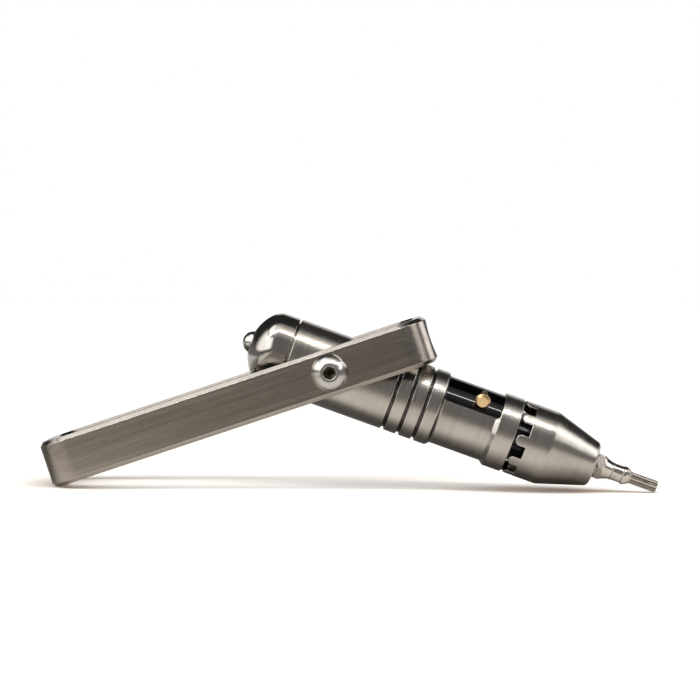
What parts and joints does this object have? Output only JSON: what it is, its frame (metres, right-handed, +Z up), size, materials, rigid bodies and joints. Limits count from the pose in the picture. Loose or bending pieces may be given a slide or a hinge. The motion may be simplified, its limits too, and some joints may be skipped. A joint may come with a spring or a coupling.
{
  "type": "pocket screwdriver",
  "caption": "Folding ratchet screwdriver: a turned steel driver with a hex bit pivots inside a looped steel handle frame, with a brass selector knob and a sprung ball detent.",
  "frame": {"origin": "middle of the bounding box on the surface it stands on, opened to its stop", "axes": "+X from the frame's long end to the bit's tip, +Y away from the side with the selector knob, +Z up"},
  "size_m": [0.1604, 0.0348, 0.0455],
  "materials": {
    "frame_steel": "fine lengthwise brushing",
    "turned_steel": "fine turned finish",
    "polished_steel": "polished",
    "black_steel": "glossy black",
    "dark_steel": "dark, oiled",
    "inner_steel": "machined",
    "brass": "turned",
    "bit_steel": "satin nickel"
  },
  "bodies": {
    "body": {"barrel": "turned_steel", "end_cap": "turned_steel", "detent_spring": "inner_steel", "spring_plug": "inner_steel", "near_screw": "polished_steel", "far_screw": "polished_steel", "near_bush": "brass", "far_bush": "brass", "near_washer": "inner_steel", "far_washer": "inner_steel", "pawl_carrier": "inner_steel", "rear_bush": "brass", "front_bush": "brass", "thrust_ball": "polished_steel", "upper_pin": "inner_steel", "lower_pin": "inner_steel"},
    "frame": {"handle_frame": "frame_steel"},
    "chuck": {"spindle": "dark_steel", "rear_wheel": "inner_steel", "front_wheel": "inner_steel", "circlip": "dark_steel", "nose": "turned_steel", "bit_magnet": "inner_steel"},
    "bit": {"bit": "bit_steel"},
    "selector": {"selector_sleeve": "black_steel", "selector_pad": "black_steel", "selector_knob": "brass", "selector_spring": "inner_steel"},
    "upper_pawl": {"upper_pawl": "inner_steel"},
    "lower_pawl": {"lower_pawl": "inner_steel"},
    "ball": {"detent_ball": "polished_steel"}
  },
  "joints": [
    {"name": "frame_fold", "type": "hinge", "parent": "body", "child": "frame", "pos_m": [-0.00558, 0, 0.03076], "axis": [0, -1, 0], "range_deg": [0, 130]},
    {"name": "chuck_spin", "type": "hinge", "parent": "body", "child": "chuck", "pos_m": [0.042, 0, 0.01444], "axis": [0.9459, 0, -0.3243], "continuous": true},
    {"name": "bit_pull", "type": "slide", "parent": "chuck", "child": "bit", "axis": [0.9459, 0, -0.3243], "range_m": [0, 0.03]},
    {"name": "selector_slide", "type": "slide", "parent": "body", "child": "selector", "axis": [0.9459, 0, -0.3243], "range_m": [0, 0.0013]},
    {"name": "upper_pawl_rock", "type": "hinge", "parent": "body", "child": "upper_pawl", "pos_m": [0.02883, 0, 0.02477], "axis": [0, 1, 0], "range_deg": [0, 9]},
    {"name": "lower_pawl_rock", "type": "hinge", "parent": "body", "child": "lower_pawl", "pos_m": [0.02527, 0, 0.01436], "axis": [0, -1, 0], "range_deg": [0, 9]},
    {"name": "ball_press", "type": "slide", "parent": "body", "child": "ball", "axis": [0.9459, 0, -0.3243], "range_m": [0, 0.0015], "stiffness_N_per_m": 2000, "springref_m": -0.002, "deforming": ["detent_spring"]}
  ],
  "couplings": [
    {"joint": "upper_pawl_rock", "follows": "selector_slide", "rad_per_m": 120.83},
    {"joint": "lower_pawl_rock", "follows": "selector_slide", "rad_per_m": 120.83}
  ]
}
